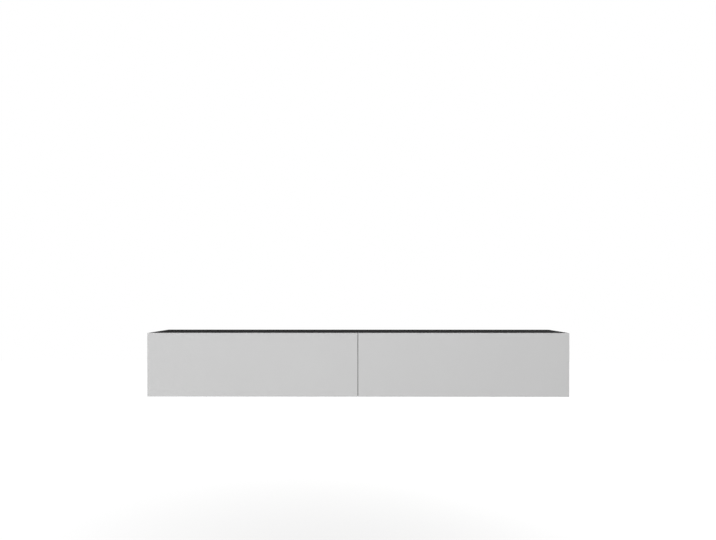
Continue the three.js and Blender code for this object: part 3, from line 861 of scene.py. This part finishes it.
def cut_out_liner():
    """A ring for the cut-out, its flange on z = 0 and its sleeve below."""
    bm = bmesh.new()
    across = CUT_OUT_WIDTH / 2 - CUT_OUT_RADIUS
    along = CUT_OUT_HEIGHT / 2 - CUT_OUT_RADIUS
    verts = [
        bm.verts.new((across + CUT_OUT_RADIUS + out * MM, along, level * MM))
        for out, level in LINER_SECTION
    ]
    ring = verts + [bm.edges.new(pair) for pair in zip(verts, verts[1:] + verts[:1])]
    route = (
        # the middle of the corner, and the straight run after it
        ((across, along, 0), (-2 * across, 0, 0)),
        ((-across, along, 0), (0, -2 * along, 0)),
        ((-across, -along, 0), (2 * across, 0, 0)),
        ((across, -along, 0), (0, 2 * along, 0)),
    )
    for middle, run in route:
        spun_ring = bmesh.ops.spin(
            bm, geom=ring, cent=middle, axis=UP, angle=QUARTER_TURN, steps=CORNER_STEPS
        )["geom_last"]
        ends = [g for g in spun_ring if isinstance(g, bmesh.types.BMEdge)]
        grown = bmesh.ops.extrude_edge_only(bm, edges=ends)["geom"]
        verts = [g for g in grown if isinstance(g, bmesh.types.BMVert)]
        rim = [g for g in grown if isinstance(g, bmesh.types.BMEdge) and g.is_boundary]
        bmesh.ops.translate(bm, verts=verts, vec=run)
        ring = verts + rim
    bmesh.ops.remove_doubles(bm, verts=bm.verts, dist=MERGE_GAP)
    return as_shape("cut_out_liner_shape", bm)


liner = cut_out_liner()
print("faces in a liner:", len(liner.polygons))

# %% Line the cable cut-outs
CUT_OUT_RISE = 47 * MM  # from the compartment's floor to the middle of the cut-out
floor_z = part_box("bottom_panel")[1].z
for hand in ("left", "right"):
    low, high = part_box(f"{hand}_flap")
    back_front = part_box(f"{hand}_back_panel")[0].y
    seat = Vector(((low.x + high.x) / 2, back_front, floor_z + CUT_OUT_RISE))
    scatter(
        f"{hand}_cut_out_liner",
        liner,
        [(seat, TO_ROOM)],
        plastics["glass_filled_nylon_moulded"],
        "carcass",
    )

# %% [markdown]
# ## Cams that hold the boards together
#
# Flat-packed boards are joined by a bolt in one board and a 15 mm cam in the other. The cams
# sit in the upright boards, 34 mm from each joint, because that is how long the bolt is. They
# lie almost flush, so only their slotted tops show. The whole housing could be made, but it is
# buried in the board, so the shape of a screw head serves, wide and flat with a deep cross.

# %% Set in the cams
CAM_FROM_JOINT = 34 * MM
CAM_FROM_FRONT = 38 * MM
CAM_FROM_REAR = 100 * MM
cam = screw_head(radius=7.3 * MM, height=0.5 * MM, recess=2.2 * MM)
top_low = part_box("top_panel")[0]
cam_faces = [
    (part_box("left_side_panel")[1].x, TO_RIGHT),
    (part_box("centre_partition")[0].x, TO_LEFT),
    (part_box("right_side_panel")[0].x, TO_LEFT),
]
cam_places = [
    (Vector((x, y, z)), into)
    for x, into in cam_faces
    for y in (top_low.y + CAM_FROM_FRONT, -CAM_FROM_REAR)
    for z in (top_low.z - CAM_FROM_JOINT, floor_z + CAM_FROM_JOINT)
]
scatter("board_cams", cam, cam_places, metals["die_cast_zinc"], "carcass")

# %% [markdown]
# ## Washers
#
# The rail carries the whole console, so it is screwed to the wall every 200 mm. Each slot takes
# a pan-head screw over a washer, which lets the rail be levelled before the screws are drawn up.
# A washer could be two cylinders and a boolean, but spinning its section gives a clean ring, and
# the same function spins the domes and the nails further down.


# %% Spin a washer
SPIN_STEPS = 24


def spun(points, steps):
    """Spins a section of (radius, height) points round Z into a closed mesh."""
    bm = bmesh.new()
    verts = [bm.verts.new((radius, 0, height)) for radius, height in points]
    edges = [bm.edges.new(pair) for pair in zip(verts, verts[1:])]
    bmesh.ops.spin(
        bm,
        geom=verts + edges,
        cent=(0, 0, 0),
        axis=UP,
        angle=2 * math.pi,
        steps=steps,
        use_merge=True,
    )
    bmesh.ops.remove_doubles(bm, verts=bm.verts, dist=MERGE_GAP)
    return as_shape("spun_shape", bm)


WASHER_INNER, WASHER_OUTER, WASHER_THICK = 2.9 * MM, 7.5 * MM, 1.3 * MM
WASHER_EDGE = 0.24 * MM
washer = spun(
    [
        (WASHER_INNER, 0),
        (WASHER_OUTER, 0),
        (WASHER_OUTER, WASHER_THICK - WASHER_EDGE),
        (WASHER_OUTER - WASHER_EDGE, WASHER_THICK),
        (WASHER_INNER, WASHER_THICK),
        (WASHER_INNER, 0),
    ],
    SPIN_STEPS,
)
print("faces in a washer:", len(washer.polygons))

# %% Screw the rail to the wall
SLOT_PITCH = 200 * MM
SLOTS_PER_SIDE = 5
SLOT_HEIGHT = 0  # the origin lies in the middle of the rail's slots
RAIL_THICKNESS = 2 * MM
rail_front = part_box("wall_rail")[1].y - RAIL_THICKNESS
pan_head = screw_head(radius=5.2 * MM, height=2.8 * MM, recess=1.8 * MM)
slot_x = [side * (i + 0.5) * SLOT_PITCH for i in range(SLOTS_PER_SIDE) for side in (-1, 1)]
washer_places = [(Vector((x, rail_front, SLOT_HEIGHT)), TO_ROOM) for x in slot_x]
pan_places = [(Vector((x, rail_front - WASHER_THICK, SLOT_HEIGHT)), TO_ROOM) for x in slot_x]
scatter("rail_washers", washer, washer_places, SCREW, "carcass")
scatter("rail_screws", pan_head, pan_places, SCREW, "carcass")

# %% [markdown]
# ## Buffers
#
# Soft domes of cast polyurethane on the back of each flap keep it from knocking on the top
# panel. They are lower than the gap behind the flap, because the latch needs room to be pushed
# in. The stuff is milky rather than clear: part of the light goes through, and the rest is
# scattered, so the material is only partly transmissive.

# %% Cast the polyurethane
milky_soft, tree, shader, place = start_material(
    "milky_polyurethane_cast",
    {"Base Color": linear("#eeeeea"), "Transmission Weight": 0.4, "IOR": 1.49},
)
haze = add_node(
    tree, "ShaderNodeTexNoise", {"Scale": per_metre(6), "Detail": 1}, {"Vector": place}
)
hazed = add_node(
    tree, "ShaderNodeMapRange", {"To Min": 0.2, "To Max": 0.26}, {"Value": haze.outputs["Fac"]}
)
tree.links.new(hazed.outputs["Result"], shader.inputs["Roughness"])
print("made", milky_soft.name)

# %% Stick on the buffers
BUFFER_RADIUS, BUFFER_HEIGHT = 4 * MM, 2.2 * MM
BUFFER_SIDE_SHARE = 0.35  # the straight part of the side, as a share of the height
BUFFER_STEPS = 5
BUFFER_FROM_END, BUFFER_FROM_TOP = 28 * MM, 8 * MM
GLUE = 0.08 * MM
side_height = BUFFER_SIDE_SHARE * BUFFER_HEIGHT
crown_height = BUFFER_HEIGHT - side_height
turns = [QUARTER_TURN * k / BUFFER_STEPS for k in range(BUFFER_STEPS + 1)]
crown = [
    (BUFFER_RADIUS * math.cos(turn), side_height + crown_height * math.sin(turn)) for turn in turns
]
dome = spun([(0, 0), (BUFFER_RADIUS, 0)] + crown, SPIN_STEPS)
for hand in ("left", "right"):
    low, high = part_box(f"{hand}_flap")
    spots = [
        (Vector((x, high.y + GLUE, high.z - BUFFER_FROM_TOP)), TO_WALL)
        for x in (low.x + BUFFER_FROM_END, high.x - BUFFER_FROM_END)
    ]
    scatter(f"{hand}_buffers", dome, spots, milky_soft, f"{hand}_flap")

# %% [markdown]
# ## Nails
#
# The two backs meet behind the partition, and each is nailed to its rear edge along the seam.
# A plain cylinder would have the size of a head, but its rim would be too sharp to catch light,
# so the heads are spun from half their outline, with a softened edge.

# %% Nail the backs to the partition
NAIL_RADIUS, NAIL_RIM, NAIL_HEIGHT = 1.7 * MM, 0.3 * MM, 0.7 * MM
NAIL_CROWN_RADIUS, NAIL_CROWN = 1.3 * MM, 0.6 * MM
NAIL_STEPS = 12
NAIL_FROM_SEAM = 4 * MM
NAIL_HEIGHT_SHARES = (0.08, 0.26, 0.44, 0.62, 0.8)
nail = spun(
    [
        (0, 0),
        (NAIL_RADIUS, 0),
        (NAIL_RADIUS, NAIL_RIM),
        (NAIL_CROWN_RADIUS, NAIL_CROWN),
        (0, NAIL_HEIGHT),
    ],
    NAIL_STEPS,
)
nail_places = []
for hand, side in (("left", -1), ("right", 1)):
    low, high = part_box(f"{hand}_back_panel")
    for share in NAIL_HEIGHT_SHARES:
        spot = Vector((side * NAIL_FROM_SEAM, high.y, low.z + share * (high.z - low.z)))
        nail_places.append((spot, TO_WALL))
scatter("back_nails", nail, nail_places, SCREW, "carcass")

# %% [markdown]
# ## Daylight
#
# The picture is a cut-out on white. A white room lit until it clips would also burn out the
# fronts, so the light on the object stays at the level where a colour looks as it is written,
# and only what the camera, a mirror or a glass sees of the surroundings is set to white. The
# Light Path node tells those rays from the ones that carry light to a matt surface.


# %% Make the daylight
def seen_directly(tree):
    """A value of 1 for rays from the camera, a mirror or a glass, and 0 for scattered light."""
    path = add_node(tree, "ShaderNodeLightPath")
    seen = path.outputs["Is Camera Ray"]
    for ray in ("Is Glossy Ray", "Is Transmission Ray"):
        either = add_node(
            tree, "ShaderNodeMath", {"operation": "MAXIMUM"}, {0: seen, 1: path.outputs[ray]}
        )
        seen = either.outputs[0]
    return seen


WHITE = linear("#ffffff")
DAYLIGHT = 0.45
world = bpy.data.worlds.new("soft_studio")
bpy.context.scene.world = world
world.use_nodes = True
tree = world.node_tree
tree.nodes.clear()
daylight = add_node(tree, "ShaderNodeBackground", {"Color": WHITE, "Strength": DAYLIGHT})
white = add_node(tree, "ShaderNodeBackground", {"Color": WHITE, "Strength": 1})
sky = add_node(
    tree,
    "ShaderNodeMixShader",
    links={0: seen_directly(tree), 1: daylight.outputs[0], 2: white.outputs[0]},
)
add_node(tree, "ShaderNodeOutputWorld", links={"Surface": sky.outputs[0]})
print("daylight on the object:", DAYLIGHT)

# %% [markdown]
# ## Floor
#
# The floor is grey to the light that it throws back, which keeps the undersides darker than the
# fronts. To the camera it is lifted to white, a little less near the console, where its soft
# shadow falls, and more further out, so that no horizon shows. The lift follows the distance
# from the middle of the floor, not the camera, so it is the same from every side.

# %% Lay the floor
FLOOR_BELOW = 1.0  # metres under the console
FLOOR_REACH = 12  # metres to each side

floor_bm = bmesh.new()
bmesh.ops.create_grid(floor_bm, x_segments=1, y_segments=1, size=FLOOR_REACH)
bmesh.ops.translate(floor_bm, verts=floor_bm.verts, vec=(0, 0, cad_low.z - FLOOR_BELOW))
floor_mesh = bpy.data.meshes.new("floor")
floor_bm.to_mesh(floor_mesh)
floor_bm.free()
floor = bpy.data.objects.new("floor", floor_mesh)
bpy.context.scene.collection.objects.link(floor)
floor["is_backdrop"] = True
print("floor in metres below the origin:", round(FLOOR_BELOW - cad_low.z, 3))

# %% Lift the floor to white
NEAR, FAR = 1.2, 4.0  # metres from the middle of the floor
NEAR_LIFT, FAR_LIFT = 0.55, 0.85

floor_material = bpy.data.materials.new("white_studio_floor")
floor_material.use_nodes = True
floor_mesh.materials.append(floor_material)
tree = floor_material.node_tree
tree.nodes.clear()
matt = add_node(tree, "ShaderNodeBsdfDiffuse", {"Color": linear("#c8c8c8")})
place = add_node(tree, "ShaderNodeTexCoord").outputs["Object"]
away = add_node(tree, "ShaderNodeVectorMath", {"operation": "LENGTH"}, {0: place})
fade = add_node(
    tree,
    "ShaderNodeMapRange",
    {"From Min": NEAR, "From Max": FAR, "To Min": NEAR_LIFT, "To Max": FAR_LIFT},
    {"Value": away.outputs["Value"]},
)
lift = add_node(
    tree, "ShaderNodeEmission", {"Color": WHITE}, {"Strength": fade.outputs["Result"]}
)
lifted = add_node(tree, "ShaderNodeAddShader", links={0: matt.outputs[0], 1: lift.outputs[0]})
ground = add_node(
    tree,
    "ShaderNodeMixShader",
    links={0: seen_directly(tree), 1: matt.outputs[0], 2: lifted.outputs[0]},
)
add_node(tree, "ShaderNodeOutputMaterial", links={"Surface": ground.outputs[0]})
print("nodes in the floor:", len(tree.nodes))

# %% [markdown]
# ## Lamps
#
# Four large, soft lamps stand round the console. Panels of light would do, but a panel lights
# only what is in front of it, and the edge of its light would draw a line across the floor, so
# these are big globes. The three in front stand hardly higher than the console, which lights
# the fronts as evenly from top to bottom as the picture shows them, leaves the black top dark
# and reaches into the compartments. The key lamp is at the left, because the fronts are a
# little lighter there. The rear lamp stands far out to one side, where its reflection in the top
# can't reach the camera.

# %% Hang the lamps
LAMPS = {
    # the name: place in metres, watts
    "key_lamp": ((-3.0, -3.4, 0.2), 154),
    "fill_lamp": ((3.0, -3.2, 0.2), 22),
    "front_lamp": ((0.3, -4.4, 0.2), 194),
    "rear_lamp": ((3.6, 2.8, 0.6), 170),
}
GLOBE_RADIUS = 1.0
for name, (spot, watts) in LAMPS.items():
    lamp = bpy.data.lights.new(name, "POINT")
    lamp.shadow_soft_size = GLOBE_RADIUS
    lamp.energy = watts
    holder = bpy.data.objects.new(name, lamp)
    holder.location = spot
    holder.visible_camera = False
    bpy.context.scene.collection.objects.link(holder)
print("lamps:", list(LAMPS))

# %% [markdown]
# ## Measure
#
# The box of the finished pieces is printed here, as the CAD model's box was at the start.
# The finished pieces may stand only a little outside the CAD model's box.

# %% Print the box of the finished pieces
low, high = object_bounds()
print("visual box in mm:", [round(v / MM, 1) for v in (high - low)])
